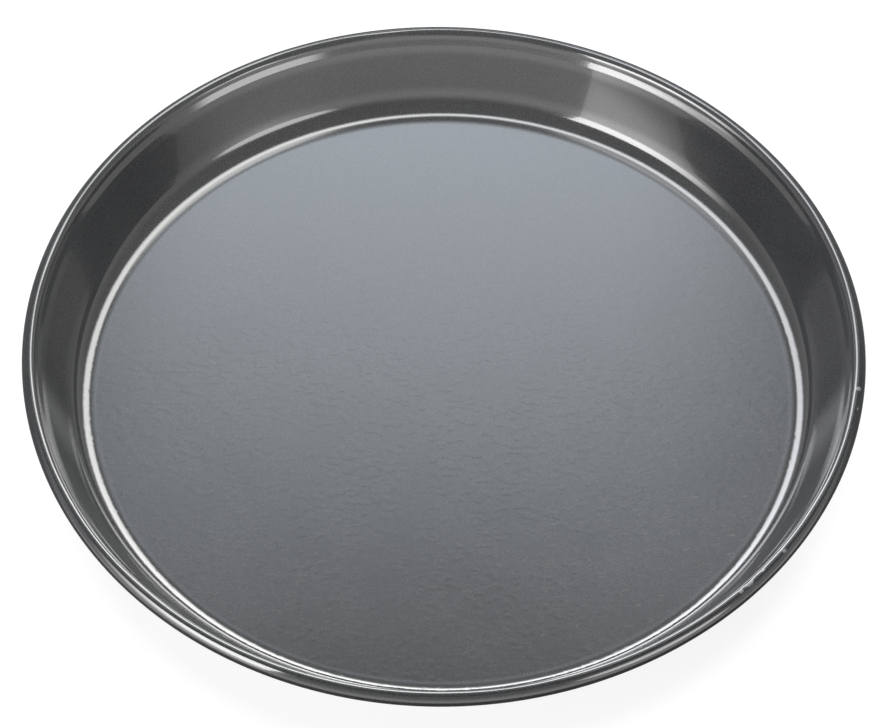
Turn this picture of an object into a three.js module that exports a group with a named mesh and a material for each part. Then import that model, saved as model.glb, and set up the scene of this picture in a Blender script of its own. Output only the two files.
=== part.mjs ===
// Round enamelled steel pizza pan with a flared wall and an open rolled rim.
// Millimetres, +Z up. The origin is the centre of the underside, on the surface that the pan stands on.
// One steel pressing carries two skins of glass enamel: one over the food side and the rim, one underneath.
import * as THREE from "three";
import { mergeGeometries } from "three/addons/utils/BufferGeometryUtils.js";

// Driving dimensions in millimetres and degrees: outside sizes are measured over the enamel
const rimDiameter = 350;
const panHeight = 33;
const cornerRadius = 12.7; // inside, from the floor up to the knee
const kneeAngle = 50; // where the corner's curve opens out into the wall
const kneeRadius = 20; // inside, from the knee to the foot of the wall
const wallFootAngle = 57.5; // the wall is slightly hollow: it steepens from its foot to its top
const wallTopAngle = 60.5; // also of the neck between the shoulder and the lip
const shoulderAngle = 55; // a band below the rim, which leans out further than the wall
const shoulderLength = 2.6;
const neckLength = 1.5;
const lipAngle = 53; // the inner face of the rim
const lipLength = 0.6;
const crownRadius = 3; // of the rim's inner top, over the enamel
const crownAngle = 20; // where the crown passes into the tighter crest
const crestRadius = 1.3; // over the enamel
const faceTopAngle = 48; // the rim's outer face is nearly flat: it steepens from its top to its foot
const faceFootAngle = 68;
const faceRadius = 9;
const curlRadius = 2.3; // of the curl under the outer face, over the enamel
const curlGap = 1; // clear slot between the curl's end and the neck, which lets enamel slip drain
const sheetThickness = 0.7;
const enamelThickness = 0.2; // on each side

// Facets
const facetsRound = 60;
const cornerSteps = 4;
const kneeSteps = 1;
const wallSteps = 2;
const crownSteps = 2;
const crestSteps = 1; // on each side of the top
const faceSteps = 1;
const curlSteps = 4;

// Offsets of the sheet's faces and the enamel's faces from the middle of the sheet
const halfSheet = sheetThickness / 2;
const halfWall = halfSheet + enamelThickness;
const wallThickness = 2 * halfWall;

/** The unit normal on the food side of a section with a heading. */
function foodSide(heading) {
  return new THREE.Vector2(-Math.sin(heading), Math.cos(heading));
}

/** A point of the section, with its normal. */
function sectionPoint(at, heading) {
  return { at, normal: foodSide(heading) };
}

/** Where a straight stretch starts that ends at a point with a heading and a length. */
function stretchStart(end, heading, length) {
  return new THREE.Vector2(end.x - length * Math.cos(heading), end.y - length * Math.sin(heading));
}

/** How far an arc leads while its heading turns left, or right where the radius is negative. */
function bendStep(radius, fromHeading, toHeading) {
  const across = Math.sin(toHeading) - Math.sin(fromHeading);
  const up = Math.cos(fromHeading) - Math.cos(toHeading);
  return new THREE.Vector2(across, up).multiplyScalar(radius);
}

/** Points along such an arc, without the point at its end. */
function bendPoints(start, radius, fromHeading, toHeading, steps) {
  return Array.from({ length: steps }, (_, i) => {
    const heading = THREE.MathUtils.lerp(fromHeading, toHeading, i / steps);
    return sectionPoint(bendStep(radius, fromHeading, heading).add(start), heading);
  });
}

/**
 * The rolled rim: arcs that turn right over the crown and the crest, down the outer face and round the curl.
 * The crest is at the pan's height, and the curl's widest point at the rim's radius.
 * The curl ends where it is one gap away from the line of the neck.
 */
function rollPoints(lipHeading, neckHeading) {
  const crownEnd = THREE.MathUtils.degToRad(crownAngle);
  const faceTop = -THREE.MathUtils.degToRad(faceTopAngle);
  const faceFoot = -THREE.MathUtils.degToRad(faceFootAngle);
  const straightDown = -Math.PI / 2;
  const crownBend = halfWall - crownRadius;
  const crestBend = halfWall - crestRadius;
  const faceBend = halfWall - faceRadius;
  const curlBend = halfWall - curlRadius;
  const crestStep = bendStep(crestBend, 0, faceTop);
  const faceStep = bendStep(faceBend, faceTop, faceFoot);
  const sideStep = bendStep(curlBend, faceFoot, straightDown);
  const overhang = crestStep.x + faceStep.x + sideStep.x;
  const crest = new THREE.Vector2(rimDiameter / 2 - overhang, panHeight).subScalar(halfWall);
  const crestStart = crest.clone().sub(bendStep(crestBend, crownEnd, 0));
  const lipTop = crestStart.clone().sub(bendStep(crownBend, lipHeading, crownEnd));
  const faceStart = crest.clone().add(crestStep);
  const curlStart = faceStart.clone().add(faceStep);
  const curlCentre = foodSide(faceFoot).multiplyScalar(curlBend).add(curlStart);
  const lipFoot = stretchStart(lipTop, lipHeading, lipLength);
  const centreAway = lipFoot.sub(curlCentre).dot(foodSide(neckHeading));
  const pastNearest = Math.acos((centreAway - wallThickness - curlGap) / curlBend);
  const curlEnd = neckHeading - Math.PI - pastNearest;
  return [
    ...bendPoints(lipTop, crownBend, lipHeading, crownEnd, crownSteps),
    ...bendPoints(crestStart, crestBend, crownEnd, 0, crestSteps),
    ...bendPoints(crest, crestBend, 0, faceTop, crestSteps),
    ...bendPoints(faceStart, faceBend, faceTop, faceFoot, faceSteps),
    ...bendPoints(curlStart, curlBend, faceFoot, curlEnd, curlSteps),
    sectionPoint(bendStep(curlBend, faceFoot, curlEnd).add(curlStart), curlEnd),
  ];
}

/**
 * The middle of the sheet in the half plane of radius and height: floor, corner, knee, wall, shoulder,
 * neck, lip and roll. It is worked out backwards from the roll, so the floor comes out about 290 mm across.
 */
function panSection() {
  const knee = THREE.MathUtils.degToRad(kneeAngle);
  const wallFoot = THREE.MathUtils.degToRad(wallFootAngle);
  const wallTop = THREE.MathUtils.degToRad(wallTopAngle);
  const shoulder = THREE.MathUtils.degToRad(shoulderAngle);
  const lip = THREE.MathUtils.degToRad(lipAngle);
  const roll = rollPoints(lip, wallTop);
  const lipFoot = stretchStart(roll[0].at, lip, lipLength);
  const neckFoot = stretchStart(lipFoot, wallTop, neckLength);
  const shoulderFoot = stretchStart(neckFoot, shoulder, shoulderLength);
  const cornerBend = cornerRadius + halfWall;
  const kneeBend = kneeRadius + halfWall;
  const cornerStep = bendStep(cornerBend, 0, knee);
  const kneeStep = bendStep(kneeBend, knee, wallFoot);
  // The wall's bend is the one that fills the height between the knee and the shoulder
  const wallHeight = shoulderFoot.y - halfWall - cornerStep.y - kneeStep.y;
  const wallBend = wallHeight / bendStep(1, wallFoot, wallTop).y;
  const wallStart = shoulderFoot.clone().sub(bendStep(wallBend, wallFoot, wallTop));
  const kneeStart = wallStart.clone().sub(kneeStep);
  const floorEdge = kneeStart.clone().sub(cornerStep);
  return [
    sectionPoint(new THREE.Vector2(0, halfWall), 0),
    ...bendPoints(floorEdge, cornerBend, 0, knee, cornerSteps),
    ...bendPoints(kneeStart, kneeBend, knee, wallFoot, kneeSteps),
    ...bendPoints(wallStart, wallBend, wallFoot, wallTop, wallSteps),
    sectionPoint(shoulderFoot, (wallTop + shoulder) / 2),
    sectionPoint(neckFoot, (shoulder + wallTop) / 2),
    sectionPoint(lipFoot, (wallTop + lip) / 2),
    ...roll,
  ];
}

/** The same faces, seen from their other side. */
function flipped(geometry) {
  geometry.index.array.reverse();
  const normals = geometry.attributes.normal.array;
  normals.forEach((value, i) => {
    normals[i] = -value;
  });
  return geometry;
}

/**
 * The solid between two offsets from the middle of the sheet, turned about the pan's axis.
 * Each face is turned by itself, so two layers that meet at an offset have the same facets there.
 */
function turnedLayer(section, lowOffset, highOffset) {
  const face = (offset) =>
    section.map(({ at, normal }) => at.clone().addScaledVector(normal, offset));
  const low = face(lowOffset);
  const high = face(highOffset);
  return mergeGeometries([
    new THREE.LatheGeometry(low, facetsRound),
    new THREE.LatheGeometry([low.at(-1), high.at(-1)], facetsRound),
    flipped(new THREE.LatheGeometry(high, facetsRound)),
  ]);
}

function piece(name, geometry, material) {
  const mesh = new THREE.Mesh(geometry, material);
  mesh.name = name;
  return mesh;
}

const bareSteel = new THREE.MeshStandardMaterial({ color: 0x8d8f92, roughness: 0.45, metalness: 1 });
const darkEnamel = new THREE.MeshStandardMaterial({ color: 0x2f3133, roughness: 0.12, metalness: 0 });

const section = panSection();
const pizzaPan = new THREE.Group();
pizzaPan.rotation.x = Math.PI / 2; // the faces are turned about Y, and the pan stands along Z
pizzaPan.add(
  piece("steel_pan", turnedLayer(section, -halfSheet, halfSheet), bareSteel),
  piece("enamel_inside", turnedLayer(section, halfSheet, halfWall), darkEnamel),
  piece("enamel_outside", turnedLayer(section, -halfWall, -halfSheet), darkEnamel),
);

export default pizzaPan;
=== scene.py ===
"""A round enamelled steel pizza pan: one drawn sheet with a rolled rim, glazed inside and outside.

Metres, +Z up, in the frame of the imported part: the origin is the centre of the underside.
"""

import math

import bpy
import numpy as np
from mathutils import Matrix, Vector


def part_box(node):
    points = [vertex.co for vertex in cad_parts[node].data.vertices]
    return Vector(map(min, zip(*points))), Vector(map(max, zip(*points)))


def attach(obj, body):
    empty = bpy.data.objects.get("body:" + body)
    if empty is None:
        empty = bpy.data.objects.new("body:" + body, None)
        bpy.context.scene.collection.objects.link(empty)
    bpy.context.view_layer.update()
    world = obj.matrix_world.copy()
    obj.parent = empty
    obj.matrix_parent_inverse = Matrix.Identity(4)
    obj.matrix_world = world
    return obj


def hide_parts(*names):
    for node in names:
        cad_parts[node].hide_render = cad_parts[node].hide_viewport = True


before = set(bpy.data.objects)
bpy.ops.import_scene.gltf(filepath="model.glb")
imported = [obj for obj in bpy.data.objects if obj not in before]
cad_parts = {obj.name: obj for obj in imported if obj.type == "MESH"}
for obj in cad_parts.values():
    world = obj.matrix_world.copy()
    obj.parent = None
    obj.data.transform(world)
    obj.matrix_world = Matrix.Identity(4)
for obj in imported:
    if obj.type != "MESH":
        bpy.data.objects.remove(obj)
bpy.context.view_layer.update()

MM = 0.001

# Overall sizes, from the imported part
RIM_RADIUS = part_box("enamel_inside")[1].x
PAN_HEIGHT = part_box("enamel_inside")[1].z

# The sheet and its glaze
SHEET = 0.7 * MM
GLAZE = 0.2 * MM  # on each side
HALF_SHEET = SHEET / 2
HALF_WALL = HALF_SHEET + GLAZE

# Sizes of the section
CORNER_RADIUS = 12.7 * MM  # inside, from the floor up to the knee
KNEE_ANGLE = math.radians(50)  # where the corner's curve opens out into the wall
KNEE_RADIUS = 20 * MM  # inside, from the knee to the foot of the wall
WALL_FOOT_ANGLE = math.radians(57.5)  # the wall is slightly hollow: it steepens from its foot to its top
WALL_TOP_ANGLE = math.radians(60.5)  # also of the neck below the lip
SHOULDER_ANGLE = math.radians(55)  # the band below the rim leans out further than the wall
SHOULDER_LENGTH = 2.6 * MM
NECK_LENGTH = 1.5 * MM
LIP_ANGLE = math.radians(53)  # the inner face of the rim
LIP_LENGTH = 0.3 * MM
STEP_RADIUS = 2 * MM  # of the bends that join wall, shoulder, neck and lip
CROWN_RADIUS = 4 * MM  # of the rim's inner top, over the glaze
CROWN_ANGLE = math.radians(20)  # where the crown passes into the tighter crest
CREST_RADIUS = 1.3 * MM
FACE_TOP = math.radians(-40)  # headings of the rim's nearly flat outer face, at its top and its foot
FACE_FOOT = math.radians(-63)
FACE_RADIUS = 8 * MM
CURL_RADIUS = 2.3 * MM
CURL_GAP = 1 * MM  # between the end of the curl and the neck

# Points along each stretch of the section
FLOOR_POINTS = 4
CORNER_POINTS = 16
KNEE_POINTS = 5
WALL_POINTS = 6
STEP_POINTS = 4
STRAIGHT_POINTS = 3  # of the shoulder, the neck and the lip
CROWN_POINTS = 9
CREST_POINTS = 9
FACE_POINTS = 6
CURL_POINTS = 12

# Steps round the pan
FOOD_SIDE_STEPS = 360
UNDER_SIDE_STEPS = 240
SHEET_STEPS = 120
BEAD_STEPS = 25  # extra ones beside each bead of glaze
BEAD_REACH = 2.5  # half lengths of the bead, to each side of it
AZIMUTH_DIGITS = 5  # steps that agree this far are one
SHARP_ANGLE = math.radians(40)  # a steeper fold between two faces is an edge

# What pressing leaves: the rim isn't quite round
LOBE_DEPTH = 0.67 * MM
LOBE_AZIMUTH = math.radians(14)
LOBES = 3

# What dipping leaves: waves in the glaze of the rim, each with its count round the rim, phase and share
WAVES = (
    (11, 0.3, 1.0),
    (17, 2.0, 0.8),
    (23, 4.1, 0.7),
    (37, 5.2, 0.4),
)
WAVE_SLIDE = 0.16 * MM  # along the section, at the lip
LIP_MIDDLE = -2.6 * MM  # past the crest
LIP_REACH = 1.4 * MM
WAVE_SWELL = 0.035 * MM  # in the glaze's thickness, on the crown
CROWN_MIDDLE = -1.7 * MM  # past the crest
CROWN_REACH = 1.2 * MM

# Beads of glaze on the rim, with a painted glint on their tops: azimuth in degrees, and in millimetres the
# place past the crest, the half length, the half width and the height
BEADS = (
    (315.1, 0.1, 1.1, 0.6, 0.12),
    (316.8, 0.0, 2.4, 0.6, 0.14),
    (319.8, -0.1, 1.3, 0.4, 0.08),
    (324.1, 0.4, 1.2, 0.5, 0.12),
    (350.5, 1.2, 1.0, 0.4, 0.10),
    (353.8, 0.4, 1.2, 0.9, 0.12),
)
BEAD_ROOM = 0.14 * MM  # the crest lies this far under the top of the part, where the highest bead ends

# Where the glaze is duller: each pair is the start and the end of a fade, over heights, places past the
# crest, or slants, which go from 0 for a surface seen squarely to 1 for one seen along itself
WALL_FOOT_HEIGHTS = (8 * MM, 12 * MM)
WALL_TOP_HEIGHTS = (26 * MM, 23 * MM)
WALL_DULLNESS = 0.35
KNEE_HEIGHTS = (2.8 * MM, 4.5 * MM)
NECK_PLACES = (-2.2 * MM, -2.8 * MM)
GRAZING_SLANTS = (0.5, 0.72)
GRAZING_DULLNESS = 0.65
CREST_PLACES = (-0.05 * MM, 0.12 * MM)
FACE_TOP_PLACES = (0.7 * MM, 1.0 * MM)
FACE_FOOT_PLACES = (3.5 * MM, 3.0 * MM)
FACE_SLANTS = (0.42, 0.28)
EVEN_BLEND = 0.5  # makes the slant one less the cosine of the angle of view

# The glaze's relief, on the floor only
FLOOR_HEIGHTS = (3.5 * MM, 1.5 * MM)
PATCH_SCALE = 22.0
PATCH_RANGE = (0.2, 0.55)
BLISTER_SCALE = (260.0, 420.0, 380.0)
BLISTER_RANGE = (0.48, 0.74)
NEAR_PLACES = (0.09, -0.02)  # the blisters are fuller on the near half
FAR_SHARE = 0.15
GRAIN_SCALE = 900.0
GRAIN_SHARE = 0.03
RELIEF_DEPTH = 0.04 * MM

# The glaze's colour and polish
NOISE_RANGE = (0.3, 0.7)  # where most of a noise's values lie
NOISE_MIDDLE = 0.5
SPECKLE_SCALE = 1300.0
SPECKLE_SHARE = 0.75
CLOUD_SCALE = 30.0
DARK_GLASS = (0.036, 0.037, 0.039, 1)
PALE_GLASS = (0.063, 0.064, 0.066, 1)
# pale colour painted on the tops of the rim's beads of glaze: a painted glint
GLINT_PAINTED_GLASS = (0.25, 0.26, 0.27, 1)
GLINT_RAGGEDNESS = 0.9
GLINT_RANGE = (0.25, 0.45)
GLOSSY_ROUGHNESS = 0.09
GLOSSY_CLOUDING = 0.06
GLOSSY_IOR = 1.9
COAT_ROUGHNESS = 0.03
COAT_IOR = 1.6
DULL_ROUGHNESS = 0.38
DULL_CLOUDING = 0.1
DULL_IOR = 1.1

# Bare steel
STREAK_SCALE = (60.0, 900.0, 900.0)
DARK_STEEL = (0.29, 0.29, 0.3, 1)
PALE_STEEL = (0.43, 0.43, 0.44, 1)
STEEL_ROUGHNESS = 0.25
STEEL_STREAKING = 0.3

# The photograph's camera
PHOTO_WIDTH = 885
PHOTO_HEIGHT = 728
ORIGIN_PIXEL = (442.5, 396.1)  # where the centre of the pan's underside lies in the photograph
FOCAL_PIXELS = 7201
SENSOR_WIDTH = 36  # in millimetres
CAMERA_DISTANCE = 3.0
CAMERA_AZIMUTH = -90  # in degrees, like the elevation and those of the lamps
CAMERA_ELEVATION = 53.65
CAMERA_ROLL = math.radians(0.44)

# The studio's floor and room
WHITE = (1, 1, 1, 1)
FLOOR_HALF = 6.0
FLOOR_DROP = 0.05 * MM  # below the pan's underside
PAPER = (0.22, 0.22, 0.22, 1)
PAPER_GLOW = 0.86
ROOM_LIGHT = 0.24
HORIZON_LIGHT = 0.88
HORIZON_RISE = (0.5, 0.1)
CAMERA_SIDE = (-0.15, -0.9)
FAR_SIDE_SHARE = 0.25  # of what the horizon behind the camera adds

# The big softbox above and behind the pan: an oval band, in slopes from its middle as seen from the pan
OVAL_AZIMUTH = 90
OVAL_ELEVATION = 50
OVAL_DISTANCE = 2.2
OVAL_SIZE = 5.2
INNER_CENTRE = (-0.04, 0.04)
INNER_HALVES = (0.42, 0.8)
INNER_EDGE = (0.72, 1.05)
OUTER_CENTRE = (-0.04, -0.05)
OUTER_HALVES = (0.8, 1.1)
OUTER_EDGE = (1.15, 0.8)
NOTCH_SLOPE = 0.28
NOTCH_EDGE = (-0.03, 0.03)
VEIL_FOOT = (0.12, 0.32)
VEIL_LEVEL = 0.5
VEIL_TILT = 0.8  # brighter on the right
BAND_LEVEL = 0.85
BAND_ENDS = 0.3  # brighter at the top and the foot
BAND_TILT = 0.08  # brighter on the right
BAND_RADIANCE = 4.3
COOL_SIDE = (-0.5, 0.3)
COOL_LIGHT = (0.98, 0.99, 1.04, 1)
WARM_LIGHT = (1.0, 1.01, 0.99, 1)

# The near card that the floor of the pan mirrors
CARD_AZIMUTH = 90
CARD_ELEVATION = 53.46
CARD_DISTANCE = 0.38
CARD_WIDTH = 0.54
CARD_HEIGHT = 0.5
CARD_TOP = 0.14
CARD_FOOT = -0.13
CARD_HEM = 0.06  # in which the card's foot fades out
CARD_SHIFT = -0.012
CARD_SIDE = (0.25, 0.085)
CARD_RADIANCE = 2.2
CARD_LIGHT = (0.9, 1.0, 1.11, 1)
CARD_SPREAD = math.radians(36)  # a grid keeps the card's light off the corner and the wall

# The long softbox at the left front
LEFT_AZIMUTH = 218.5
LEFT_ELEVATION = 17.3
LEFT_DISTANCE = 1.15
LEFT_SHIFT = 0.38  # sideways, away from the camera
LEFT_SHIFT_AZIMUTH = 128.5  # square to the lamp's own
LEFT_WIDTH = 1.38
LEFT_HEIGHT = 0.56
LEFT_END = (0.36, -0.36)
LEFT_FOOT = (-0.1, -0.03)
LEFT_FOOT_LEVEL = 0.28
LEFT_HEM = (-0.28, -0.2)
LEFT_RADIANCE = 5.6

# The small softbox at the right front
RIGHT_AZIMUTH = 317
RIGHT_ELEVATION = 19
RIGHT_DISTANCE = 1.1
RIGHT_WIDTH = 0.72
RIGHT_HEIGHT = 0.4
STRIP_SLOPE = 0.19
STRIP_TAPER = 0.6
STRIP_EDGE = (0.135, 0.1)
STRIP_END = (0.36, 0.24)
RIGHT_RADIANCE = 2.4


# The section of the pan

def heading_vector(heading):
    """The unit vector along a heading: its cosine outwards and its sine upwards."""
    return np.stack([np.cos(heading), np.sin(heading)], axis=-1)


def normal_vector(heading):
    """The unit normal on the food side: the heading turned a quarter turn to the left."""
    return np.stack([-np.sin(heading), np.cos(heading)], axis=-1)


def bend_step(radius, low, high):
    """How far an arc takes the section while its heading goes between two angles, either way."""
    return radius * np.array([math.sin(high) - math.sin(low), math.cos(low) - math.cos(high)])


def arc(start, radius, low, high, count):
    """Points on a circle: the start plus radius times the change of the heading's sine and cosine."""
    heading = np.linspace(low, high, count)
    turn = np.sign(high - low)
    points = start + turn * radius * (normal_vector(low) - normal_vector(heading))
    return points, heading


def line(start, heading, length, count):
    """Points a steady step apart along a heading."""
    steps = np.linspace(0, length, count)[:, None]
    return start + steps * heading_vector(heading), np.full(count, heading)


def roll():
    """The rolled rim: arcs that turn right, over crown and crest, down the outer face and round the curl.

    The crest is just under the pan's height, and the curl's widest point at the rim's radius. The curl's
    distance from the line of the neck is its centre's distance plus its radius times the cosine of the turn
    past the furthest point, which gives the heading one gap short of the neck.
    """
    crown_bend = CROWN_RADIUS - HALF_WALL
    crest_bend = CREST_RADIUS - HALF_WALL
    face_bend = FACE_RADIUS - HALF_WALL
    curl_bend = CURL_RADIUS - HALF_WALL
    crest_step = bend_step(crest_bend, FACE_TOP, 0)
    face_step = bend_step(face_bend, FACE_FOOT, FACE_TOP)
    side_step = bend_step(curl_bend, -math.pi / 2, FACE_FOOT)
    overhang = (crest_step + face_step + side_step)[0]
    crest = np.array([RIM_RADIUS - overhang, PAN_HEIGHT - BEAD_ROOM]) - HALF_WALL
    crest_start = crest - bend_step(crest_bend, 0, CROWN_ANGLE)
    lip_top = crest_start - bend_step(crown_bend, CROWN_ANGLE, LIP_ANGLE)
    lip_foot = lip_top - LIP_LENGTH * heading_vector(LIP_ANGLE)
    face_start = crest + crest_step
    curl_start = face_start + face_step
    curl_centre = curl_start - curl_bend * normal_vector(FACE_FOOT)
    centre_away = (lip_foot - curl_centre) @ normal_vector(WALL_TOP_ANGLE)
    past_furthest = math.acos((2 * HALF_WALL + CURL_GAP - centre_away) / curl_bend)
    curl_end = WALL_TOP_ANGLE - math.pi - past_furthest
    return [
        arc(lip_top, crown_bend, LIP_ANGLE, CROWN_ANGLE, CROWN_POINTS),
        arc(crest_start, crest_bend, CROWN_ANGLE, FACE_TOP, CREST_POINTS),
        arc(face_start, face_bend, FACE_TOP, FACE_FOOT, FACE_POINTS),
        arc(curl_start, curl_bend, FACE_FOOT, curl_end, CURL_POINTS),
    ]


def pan_section():
    """The middle of the sheet as points (radius, height) and headings, from the axis to the curl's end.

    It is worked out backwards from the roll: lip, neck, shoulder, wall, knee, corner and floor. The wall's
    bend is the one that fills the height between the knee and the shoulder.
    """
    rim = roll()
    lip_step = bend_step(STEP_RADIUS, LIP_ANGLE, WALL_TOP_ANGLE)
    shoulder_step = bend_step(STEP_RADIUS, SHOULDER_ANGLE, WALL_TOP_ANGLE)
    lip_foot = rim[0][0][0] - LIP_LENGTH * heading_vector(LIP_ANGLE)
    neck_top = lip_foot - lip_step
    neck_foot = neck_top - NECK_LENGTH * heading_vector(WALL_TOP_ANGLE)
    shoulder_top = neck_foot - shoulder_step
    shoulder_foot = shoulder_top - SHOULDER_LENGTH * heading_vector(SHOULDER_ANGLE)
    wall_top = shoulder_foot - shoulder_step
    corner_bend = CORNER_RADIUS + HALF_WALL
    knee_bend = KNEE_RADIUS + HALF_WALL
    corner_step = bend_step(corner_bend, 0, KNEE_ANGLE)
    knee_step = bend_step(knee_bend, KNEE_ANGLE, WALL_FOOT_ANGLE)
    wall_height = wall_top[1] - HALF_WALL - corner_step[1] - knee_step[1]
    wall_bend = wall_height / bend_step(1, WALL_FOOT_ANGLE, WALL_TOP_ANGLE)[1]
    wall_foot = wall_top - bend_step(wall_bend, WALL_FOOT_ANGLE, WALL_TOP_ANGLE)
    knee = wall_foot - knee_step
    floor_edge = knee - corner_step
    stretches = [
        line(np.array([0, HALF_WALL]), 0.0, floor_edge[0], FLOOR_POINTS),
        arc(floor_edge, corner_bend, 0, KNEE_ANGLE, CORNER_POINTS),
        arc(knee, knee_bend, KNEE_ANGLE, WALL_FOOT_ANGLE, KNEE_POINTS),
        arc(wall_foot, wall_bend, WALL_FOOT_ANGLE, WALL_TOP_ANGLE, WALL_POINTS),
        arc(wall_top, STEP_RADIUS, WALL_TOP_ANGLE, SHOULDER_ANGLE, STEP_POINTS),
        line(shoulder_foot, SHOULDER_ANGLE, SHOULDER_LENGTH, STRAIGHT_POINTS),
        arc(shoulder_top, STEP_RADIUS, SHOULDER_ANGLE, WALL_TOP_ANGLE, STEP_POINTS),
        line(neck_foot, WALL_TOP_ANGLE, NECK_LENGTH, STRAIGHT_POINTS),
        arc(neck_top, STEP_RADIUS, WALL_TOP_ANGLE, LIP_ANGLE, STEP_POINTS),
        line(lip_foot, LIP_ANGLE, LIP_LENGTH, STRAIGHT_POINTS),
        *rim,
    ]
    end_points, end_heading = stretches[-1]
    points = np.concatenate([p[:-1] for p, _ in stretches] + [end_points[-1:]])
    heading = np.concatenate([h[:-1] for _, h in stretches] + [end_heading[-1:]])
    return points, heading


# Meshes

def mesh_object(name, vertices, faces):
    """A smooth mesh with its place in its vertices."""
    mesh = bpy.data.meshes.new(name)
    mesh.from_pydata(vertices.tolist(), [], faces)
    mesh.update()
    mesh.shade_smooth()
    mesh.set_sharp_from_angle(angle=SHARP_ANGLE)
    piece = bpy.data.objects.new(name, mesh)
    bpy.context.scene.collection.objects.link(piece)
    return piece


def out_of_round(azimuth, height):
    """How far the pan strays from a true circle: shallow lobes, which grow in step with the height.

    They are a cosine round the pan, less its value on the right, where the rim keeps its radius.
    """
    lobes = np.cos(LOBES * (azimuth - LOBE_AZIMUTH)) - np.cos(LOBES * LOBE_AZIMUTH)
    return LOBE_DEPTH * lobes * height / PAN_HEIGHT


def past_crest(points):
    """How far each point of the section lies past the crest, along the section."""
    steps = np.linalg.norm(np.diff(points, axis=0), axis=1)
    along = np.concatenate([[0], np.cumsum(steps)])
    return along - along[np.argmax(points[:, 1])]


def azimuths(around):
    """Even steps round the pan, with fine ones beside each bead of glaze."""
    even = np.linspace(0, 2 * math.pi, around, endpoint=False)
    bead = np.radians([b[0] for b in BEADS])[:, None]
    half_length = np.array([b[2] for b in BEADS])[:, None] * MM / RIM_RADIUS
    fine = bead + BEAD_REACH * half_length * np.linspace(-1, 1, BEAD_STEPS)
    return np.unique(np.concatenate([even, fine.ravel() % (2 * math.pi)]).round(AZIMUTH_DIGITS))


def rim_waves(azimuth):
    """A sum of cosines of whole numbers of waves round the rim, for what hand dipping leaves uneven."""
    return sum(share * np.cos(count * azimuth + phase) for count, phase, share in WAVES)


def bell(along, middle, reach):
    """A bell curve along the section: e to the power of minus the squared distance, in reaches."""
    return np.exp(-(((along - middle) / reach) ** 2))


def bead_swell(azimuth, along):
    """Beads of glaze: bell curves in both directions, added up."""
    swell = 0
    for place, past, half_length, half_width, height in BEADS:
        turn = np.angle(np.exp(1j * (azimuth - math.radians(place))))
        lengthwise = turn * RIM_RADIUS / (half_length * MM)
        crosswise = (along - past * MM) / (half_width * MM)
        swell = swell + height * MM * np.exp(-(lengthwise ** 2 + crosswise ** 2))
    return swell


def glaze_face(section, azimuth, offset):
    """The food side's outer face at every azimuth, uneven near the rim.

    Waves slide the lip along the section and swell the crown, each under a bell curve of the distance
    from it, and beads stand on the crest.
    """
    points, heading = section
    along = past_crest(points)[:, None]
    waves = rim_waves(azimuth)
    slide = WAVE_SLIDE * waves * bell(along, LIP_MIDDLE, LIP_REACH)
    swell = WAVE_SWELL * waves * bell(along, CROWN_MIDDLE, CROWN_REACH)
    out = offset + swell + bead_swell(azimuth, along)
    face = points[:, None] + slide[..., None] * heading_vector(heading)[:, None]
    return face + out[..., None] * normal_vector(heading)[:, None]


def even_face(section, azimuth, offset):
    """The face at one offset from the sheet's middle, the same at every azimuth."""
    points, heading = section
    face = points + offset * normal_vector(heading)
    return np.repeat(face[:, None], len(azimuth), axis=1)


def add_attribute(piece, name, values):
    """A number for each vertex that the piece's material reads."""
    attribute = piece.data.attributes.new(name, "FLOAT", "POINT")
    attribute.data.foreach_set("value", values.astype(np.float32))


def mark_section(piece, section, azimuth):
    """Gives each vertex of a layer how far past the crest it lies, in metres, and how deep in a bead."""
    along = past_crest(section[0])
    outline = np.concatenate([along, along[::-1]])
    past = np.repeat(outline[1:-1, None], len(azimuth), axis=1)
    tallest = max(bead[-1] for bead in BEADS) * MM
    beads = bead_swell(azimuth, past) / tallest
    ends = outline[[0, -1]]
    add_attribute(piece, "past_crest", np.concatenate([past.ravel(), ends]))
    add_attribute(piece, "bead", np.concatenate([beads.ravel(), 0 * ends]))


def turned_layer(name, upper, lower, azimuth):
    """A closed skin between an upper and a lower face, turned about the pan's axis.

    The outline runs from the axis out along the upper face, and back along the lower one. Vertex (i, j) is
    the outline's point i at azimuth j: (radius cos a, radius sin a, height). The outline's ends are poles.
    """
    around = len(azimuth)
    outline = np.concatenate([upper, lower[::-1]])
    height = outline[1:-1, :, 1]
    radius = outline[1:-1, :, 0] + out_of_round(azimuth, height)
    rings = np.stack([radius * np.cos(azimuth), radius * np.sin(azimuth), height], axis=-1)
    poles = np.array([[0, 0, outline[0, 0, 1]], [0, 0, outline[-1, 0, 1]]])
    vertices = np.concatenate([rings.reshape(-1, 3), poles])
    count = len(outline) - 2
    index = np.arange(count * around).reshape(count, around)
    following = np.roll(index, -1, axis=1)
    quads = np.stack([index[:-1], index[1:], following[1:], following[:-1]], axis=-1).reshape(-1, 4)
    top = np.full(around, count * around)
    top_fan = np.stack([top, index[0], following[0]], axis=-1)
    bottom_fan = np.stack([top + 1, following[-1], index[-1]], axis=-1)
    return mesh_object(name, vertices, quads.tolist() + top_fan.tolist() + bottom_fan.tolist())


# Shader maths

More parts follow.
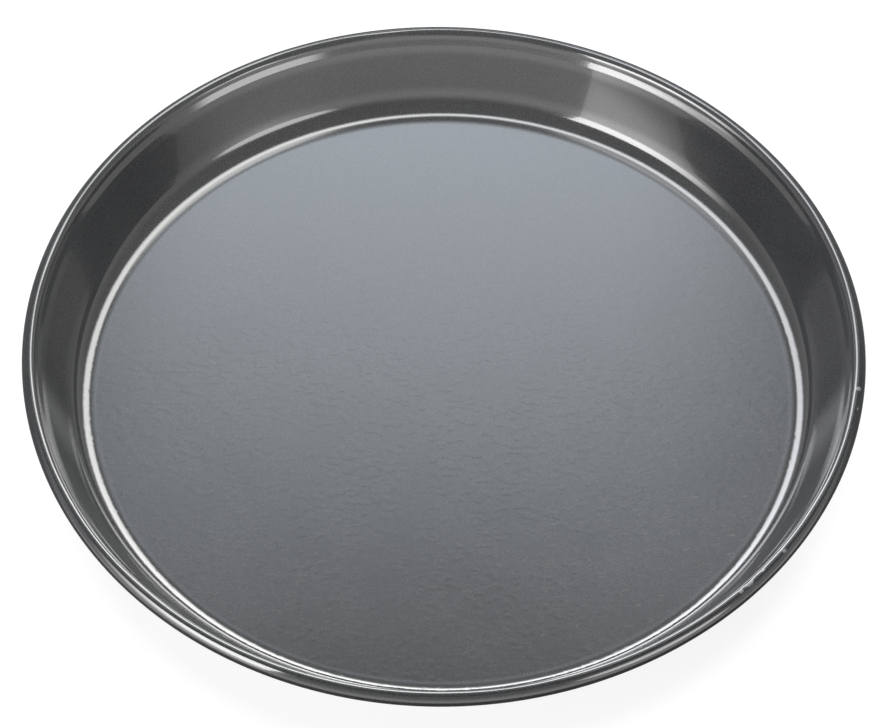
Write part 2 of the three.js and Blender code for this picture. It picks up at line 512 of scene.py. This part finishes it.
class Socket:
    """A node's output that takes part in Python arithmetic: each operation adds a Math node."""

    def __init__(self, tree, output):
        self.tree = tree
        self.output = output

    def node(self, kind, settings=None, output=None, **inputs):
        return add_node(self.tree, kind, settings, output, **inputs)

    def math(self, operation, *values):
        made = self.tree.nodes.new("ShaderNodeMath")
        made.operation = operation
        for place, value in enumerate(values):
            join(self.tree, made.inputs[place], value)
        return Socket(self.tree, made.outputs[0])

    def __add__(self, other):
        return self.math("ADD", self, other)

    __radd__ = __add__

    def __mul__(self, other):
        return self.math("MULTIPLY", self, other)

    __rmul__ = __mul__

    def __sub__(self, other):
        return self.math("SUBTRACT", self, other)

    def __rsub__(self, other):
        return self.math("SUBTRACT", other, self)

    def __pow__(self, other):
        return self.math("POWER", self, other)

    def __abs__(self):
        return self.math("ABSOLUTE", self)


def join(tree, target, value):
    """Links a socket to another one, or sets it to a plain value."""
    if isinstance(value, Socket):
        tree.links.new(value.output, target)
    else:
        target.default_value = value


def find_socket(sockets, name):
    """A socket by its identifier, which tells a Mix node's sockets of one name apart, or by its name."""
    for socket in sockets:
        if socket.identifier == name:
            return socket
    return sockets[name.replace("_", " ")]


def add_node(tree, kind, settings=None, output=None, **inputs):
    """A node of a kind: its settings are set first, and then each named socket takes a value or a link."""
    made = tree.nodes.new(kind)
    for name, value in (settings or {}).items():
        setattr(made, name, value)
    for name, value in inputs.items():
        join(tree, find_socket(made.inputs, name), value)
    return Socket(tree, find_socket(made.outputs, output) if output else made.outputs[0])


def fade(value, low, high):
    """A smooth step: 0 below low, 1 above high, or the other way round where low is the larger."""
    bounds = {"From_Min": min(low, high), "From_Max": max(low, high), "To_Min": 0.0, "To_Max": 1.0}
    if low > high:
        bounds["To_Min"], bounds["To_Max"] = 1.0, 0.0
    return value.node("ShaderNodeMapRange", {"interpolation_type": "SMOOTHSTEP"}, Value=value, **bounds)


def ramp(value, low, high):
    """A straight ramp from 0 at low to 1 at high."""
    bounds = {"From_Min": low, "From_Max": high, "To_Min": 0.0, "To_Max": 1.0}
    return value.node("ShaderNodeMapRange", Value=value, **bounds)


def between(factor, low, high):
    """A number that goes from low to high while a factor goes from 0 to 1."""
    return factor * (high - low) + low


def coordinates(vector):
    """The three numbers of a vector."""
    split = add_node(vector.tree, "ShaderNodeSeparateXYZ", Vector=vector, output="X").output.node
    return [Socket(vector.tree, output) for output in split.outputs]


def noise(place, scale, detail):
    """Smooth noise of 0 to 1, with swells about 1 / scale apart and a number of finer layers over them."""
    return place.node("ShaderNodeTexNoise", Vector=place, Scale=scale, Detail=detail)


def stretched(place, scale):
    """A place with each of its coordinates multiplied by a number."""
    return place.node("ShaderNodeMapping", Vector=place, Scale=scale)


def mix_colour(factor, first, second):
    """The first colour where a factor is 0, the second where it is 1, and a blend between."""
    return factor.node(
        "ShaderNodeMix",
        {"data_type": "RGBA"},
        output="Result_Color",
        Factor_Float=factor,
        A_Color=first,
        B_Color=second,
    )


def pair_shaders(kind, *values):
    """Two shaders brought together by a node that takes them, after a factor if it has one."""
    tree = values[0].tree
    made = tree.nodes.new(kind)
    for target, value in zip(made.inputs, values):
        join(tree, target, value)
    return Socket(tree, made.outputs[0])


# Materials

def new_material(name):
    """A material without nodes."""
    material = bpy.data.materials.new(name)
    material.use_nodes = True
    material.node_tree.nodes.clear()
    return material


def set_surface(material, shader):
    """Makes a shader the material's surface."""
    out = material.node_tree.nodes.new("ShaderNodeOutputMaterial")
    material.node_tree.links.new(shader.output, out.inputs["Surface"])


def glaze_dullness(tree, height):
    """Where the glaze is duller: in part on the wall, and more where that is seen along itself.

    The rim's outer side is dull too, apart from its face where that is seen squarely.
    """
    past = add_node(tree, "ShaderNodeAttribute", {"attribute_name": "past_crest"}, output="Fac")
    slant = add_node(tree, "ShaderNodeLayerWeight", Blend=EVEN_BLEND, output="Facing")
    wall = fade(height, *WALL_FOOT_HEIGHTS) * fade(height, *WALL_TOP_HEIGHTS)
    knee_to_neck = fade(height, *KNEE_HEIGHTS) * fade(past, *NECK_PLACES)
    grazing = knee_to_neck * fade(slant, *GRAZING_SLANTS)
    face = fade(past, *FACE_TOP_PLACES) * fade(past, *FACE_FOOT_PLACES)
    outside = fade(past, *CREST_PLACES) * (1 - face * fade(slant, *FACE_SLANTS))
    return wall * WALL_DULLNESS + grazing * GRAZING_DULLNESS + outside


def glaze_bump(place, away, height):
    """The floor's relief: flat blisters in loose patches, fuller on the near half, over a fine grain."""
    patches = fade(noise(place, PATCH_SCALE, detail=1.0), *PATCH_RANGE)
    blisters = fade(noise(stretched(place, BLISTER_SCALE), 1.0, detail=0.0), *BLISTER_RANGE)
    grain = noise(place, GRAIN_SCALE, detail=1.0)
    nearness = between(fade(away, *NEAR_PLACES), FAR_SHARE, 1)
    relief = (blisters * patches * nearness + grain * GRAIN_SHARE) * fade(height, *FLOOR_HEIGHTS)
    return place.node("ShaderNodeBump", Height=relief, Distance=RELIEF_DEPTH, Strength=1.0)


def glaze_colour(place, cloud):
    """Dark grey glass with fine speckles, and a painted glint: paler on the tall part of each bead of glaze
    on the rim.
    """
    bead = place.node("ShaderNodeAttribute", {"attribute_name": "bead"}, output="Fac")
    speckle = noise(place, SPECKLE_SCALE, detail=2.0)
    mottle = speckle * SPECKLE_SHARE + cloud * (1 - SPECKLE_SHARE)
    glass = mix_colour(fade(mottle, *NOISE_RANGE), DARK_GLASS, PALE_GLASS)
    # painted glint: the glass turns pale where a bead stands tallest, with a ragged edge
    painted_glint = fade(bead + (speckle - NOISE_MIDDLE) * GLINT_RAGGEDNESS, *GLINT_RANGE)
    return mix_colour(painted_glint, glass, GLINT_PAINTED_GLASS)


def glaze_material():
    """Dark glass enamel: a glossy glaze under a clear coat, mixed with a duller, thinner one."""
    material = new_material("anthracite_glaze")
    tree = material.node_tree
    place = add_node(tree, "ShaderNodeTexCoord", output="Object")
    _, away, height = coordinates(place)
    cloud = noise(place, CLOUD_SCALE, detail=3.0)
    colour = glaze_colour(place, cloud)
    bump = glaze_bump(place, away, height)
    glossy = add_node(
        tree,
        "ShaderNodeBsdfPrincipled",
        Base_Color=colour,
        Roughness=cloud * GLOSSY_CLOUDING + GLOSSY_ROUGHNESS,
        IOR=GLOSSY_IOR,
        Coat_Weight=1.0,
        Coat_Roughness=COAT_ROUGHNESS,
        Coat_IOR=COAT_IOR,
        Normal=bump,
    )
    dull = add_node(
        tree,
        "ShaderNodeBsdfPrincipled",
        Base_Color=colour,
        Roughness=cloud * DULL_CLOUDING + DULL_ROUGHNESS,
        IOR=DULL_IOR,
        Normal=bump,
    )
    set_surface(material, pair_shaders("ShaderNodeMixShader", glaze_dullness(tree, height), glossy, dull))
    return material


def steel_material():
    """Cold-rolled sheet: fine streaks in its colour and its polish."""
    material = new_material("bare_steel")
    tree = material.node_tree
    place = add_node(tree, "ShaderNodeTexCoord", output="Object")
    grain = noise(stretched(place, STREAK_SCALE), 1.0, detail=3.0)
    shader = add_node(
        tree,
        "ShaderNodeBsdfPrincipled",
        Base_Color=mix_colour(fade(grain, *NOISE_RANGE), DARK_STEEL, PALE_STEEL),
        Metallic=1.0,
        Roughness=grain * STEEL_STREAKING + STEEL_ROUGHNESS,
    )
    set_surface(material, shader)
    return material


# Stage, camera and lights

def studio_floor():
    """A pale floor: white to the camera and in reflections, and with the pan's shadow on it."""
    corners = np.array([[-1, -1, 0], [1, -1, 0], [1, 1, 0], [-1, 1, 0]]) * FLOOR_HALF
    corners[:, 2] = -FLOOR_DROP
    floor = mesh_object("studio_floor", corners, [[0, 1, 2, 3]])
    material = new_material("pale_floor")
    tree = material.node_tree
    rays = tree.nodes.new("ShaderNodeLightPath")
    kinds = ("Camera", "Glossy", "Transmission")
    seen = sum(Socket(tree, rays.outputs[f"Is {kind} Ray"]) for kind in kinds)
    paper = add_node(tree, "ShaderNodeBsdfDiffuse", Color=PAPER)
    glow = add_node(tree, "ShaderNodeEmission", Color=WHITE, Strength=seen * PAPER_GLOW)
    set_surface(material, pair_shaders("ShaderNodeAddShader", paper, glow))
    floor.data.materials.append(material)


def studio_world():
    """The room: pale near the horizon, above all behind the camera, and dimmer elsewhere and overhead."""
    world = bpy.data.worlds.new("studio")
    world.use_nodes = True
    tree = world.node_tree
    _, away, up = coordinates(add_node(tree, "ShaderNodeTexCoord", output="Generated"))
    low = fade(up, *HORIZON_RISE) * between(fade(away, *CAMERA_SIDE), FAR_SIDE_SHARE, 1)
    background = tree.nodes["Background"]
    background.inputs["Color"].default_value = WHITE
    join(tree, background.inputs["Strength"], between(low, ROOM_LIGHT, HORIZON_LIGHT))
    bpy.context.scene.world = world


def direction(azimuth, elevation):
    """The unit vector to a place in the room, in degrees: azimuth 0 is +X, 90 is away from the camera."""
    a = math.radians(azimuth)
    e = math.radians(elevation)
    return Vector((math.cos(e) * math.cos(a), math.cos(e) * math.sin(a), math.sin(e)))


def softbox(name, place, aim, width, height, glow, spread=math.pi):
    """An area lamp whose brightness over its face is a function of places across and up it, in metres.

    Across runs to the right and up runs upwards, as seen from the pan. A spread under half a turn stands for
    a grid in front of the lamp: its power then goes straight ahead, so it is cut by as much as the grid
    gathers.
    """
    light = bpy.data.lights.new(name, "AREA")
    light.shape = "RECTANGLE"
    light.size = width
    light.size_y = height
    light.energy = math.pi * width * height
    light.spread = spread
    if spread < math.pi:
        edge = math.tan(spread / 2)
        light.energy *= (edge - spread / 2) / edge
    light.use_nodes = True
    tree = light.node_tree
    from_right, from_foot, _ = coordinates(add_node(tree, "ShaderNodeNewGeometry", output="Parametric"))
    middle = 0.5
    across = (middle - from_right) * width
    up = (from_foot - middle) * height
    radiance, colour = glow(across, up)
    emission = tree.nodes["Emission"]
    join(tree, emission.inputs["Strength"], radiance)
    join(tree, emission.inputs["Color"], colour)
    lamp = bpy.data.objects.new(name, light)
    turn = (place - aim).to_track_quat("Z", "Y").to_matrix().to_4x4()
    lamp.matrix_world = Matrix.Translation(place) @ turn
    lamp.visible_camera = False
    bpy.context.scene.collection.objects.link(lamp)


def in_ellipse(x, y, centre, halves):
    """How far out a place lies in an ellipse: 0 at its centre, 1 on its line."""
    across = (x - centre[0]) * (1 / halves[0])
    up = (y - centre[1]) * (1 / halves[1])
    return (across ** 2.0 + up ** 2.0) ** 0.5


def oval_glow(across, up):
    """The big softbox: an oval band of light between two ellipses, brightest at its top and its foot.

    A fainter veil fills the upper middle, apart from a dark notch in the centre, where the camera hangs.
    """
    x = across * (1 / OVAL_DISTANCE)
    y = up * (1 / OVAL_DISTANCE)
    inside = in_ellipse(x, y, INNER_CENTRE, INNER_HALVES)
    notch = fade(abs(x) - y * NOTCH_SLOPE, *NOTCH_EDGE)
    veil = notch * fade(y, *VEIL_FOOT) * (x * VEIL_TILT + VEIL_LEVEL)
    rim = fade(in_ellipse(x, y, OUTER_CENTRE, OUTER_HALVES), *OUTER_EDGE)
    band = x.math("MAXIMUM", fade(inside, *INNER_EDGE), veil) * rim
    level = abs(y) * BAND_ENDS + x * BAND_TILT + BAND_LEVEL
    return band * level * BAND_RADIANCE, mix_colour(fade(x, *COOL_SIDE), COOL_LIGHT, WARM_LIGHT)


def card_glow(across, up):
    """The near card: brightest at its foot, fading to its top and its sides."""
    height = ramp(up, CARD_TOP, CARD_FOOT) * fade(up, CARD_FOOT - CARD_HEM, CARD_FOOT)
    sides = fade(abs(across - CARD_SHIFT), *CARD_SIDE)
    return height * sides * CARD_RADIANCE, CARD_LIGHT


def left_glow(across, up):
    """The softbox at the left front: fading from one end to the other, and dimmer at its foot."""
    foot = between(fade(up, *LEFT_FOOT), LEFT_FOOT_LEVEL, 1)
    return fade(across, *LEFT_END) * foot * fade(up, *LEFT_HEM) * LEFT_RADIANCE, WHITE


def right_glow(across, up):
    """The small softbox at the right front: a slanting strip that tapers to both ends."""
    off_line = abs(up - across * STRIP_SLOPE)
    strip = fade(off_line + across ** 2.0 * STRIP_TAPER, *STRIP_EDGE)
    return strip * fade(abs(across), *STRIP_END) * RIGHT_RADIANCE, WHITE


def studio_lights():
    """The four lamps, each turned to the pan, or to a place beside it where the lamp is moved sideways."""
    pan = Vector((0, 0, 0))
    oval = direction(OVAL_AZIMUTH, OVAL_ELEVATION) * OVAL_DISTANCE
    softbox("oval_softbox", oval, pan, OVAL_SIZE, OVAL_SIZE, oval_glow)
    card = direction(CARD_AZIMUTH, CARD_ELEVATION) * CARD_DISTANCE
    softbox("near_card", card, pan, CARD_WIDTH, CARD_HEIGHT, card_glow, CARD_SPREAD)
    beside = direction(LEFT_SHIFT_AZIMUTH, 0) * LEFT_SHIFT
    left = direction(LEFT_AZIMUTH, LEFT_ELEVATION) * LEFT_DISTANCE + beside
    softbox("left_softbox", left, beside, LEFT_WIDTH, LEFT_HEIGHT, left_glow)
    right = direction(RIGHT_AZIMUTH, RIGHT_ELEVATION) * RIGHT_DISTANCE
    softbox("right_softbox", right, pan, RIGHT_WIDTH, RIGHT_HEIGHT, right_glow)


def photo_camera():
    """The camera of the photograph, turned a little so that the pan's origin falls on its pixel."""
    eye = CAMERA_DISTANCE * direction(CAMERA_AZIMUTH, CAMERA_ELEVATION)
    forward = -eye.normalized()
    right = Vector((1, 0, 0))
    up = right.cross(forward)
    tilted_right = math.cos(CAMERA_ROLL) * right + math.sin(CAMERA_ROLL) * up
    tilted_up = math.cos(CAMERA_ROLL) * up - math.sin(CAMERA_ROLL) * right
    aside = (PHOTO_WIDTH / 2 - ORIGIN_PIXEL[0]) / FOCAL_PIXELS
    above = (ORIGIN_PIXEL[1] - PHOTO_HEIGHT / 2) / FOCAL_PIXELS
    aim = (forward + aside * tilted_right + above * tilted_up).normalized()
    side = aim.cross(tilted_up).normalized()
    top = side.cross(aim)
    data = bpy.data.cameras.new("photo_camera")
    data.sensor_width = SENSOR_WIDTH
    data.lens = FOCAL_PIXELS / PHOTO_WIDTH * SENSOR_WIDTH
    camera = bpy.data.objects.new("photo_camera", data)
    turn = Matrix((side, top, -aim)).transposed().to_4x4()
    camera.matrix_world = Matrix.Translation(eye) @ turn
    bpy.context.scene.collection.objects.link(camera)
    bpy.context.scene.camera = camera


def dress(piece, node, material):
    """Gives a layer its material and puts it in the place of its CAD node."""
    piece.data.materials.append(material)
    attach(piece, "root")
    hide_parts(node)


bpy.context.scene.view_settings.view_transform = "Standard"
photo_camera()
studio_floor()
studio_world()
studio_lights()

section = pan_section()
glaze = glaze_material()

food_azimuth = azimuths(FOOD_SIDE_STEPS)
food_top = glaze_face(section, food_azimuth, HALF_WALL)
food_foot = even_face(section, food_azimuth, HALF_SHEET)
food_side = turned_layer("food_side_glaze", food_top, food_foot, food_azimuth)
mark_section(food_side, section, food_azimuth)

under_azimuth = azimuths(UNDER_SIDE_STEPS)
under_top = even_face(section, under_azimuth, -HALF_SHEET)
under_foot = even_face(section, under_azimuth, -HALF_WALL)
under_side = turned_layer("under_side_glaze", under_top, under_foot, under_azimuth)
mark_section(under_side, section, under_azimuth)

sheet_azimuth = azimuths(SHEET_STEPS)
sheet_top = even_face(section, sheet_azimuth, HALF_SHEET)
sheet_foot = even_face(section, sheet_azimuth, -HALF_SHEET)
sheet = turned_layer("pressed_sheet", sheet_top, sheet_foot, sheet_azimuth)

dress(food_side, "enamel_inside", glaze)
dress(under_side, "enamel_outside", glaze)
dress(sheet, "steel_pan", steel_material())
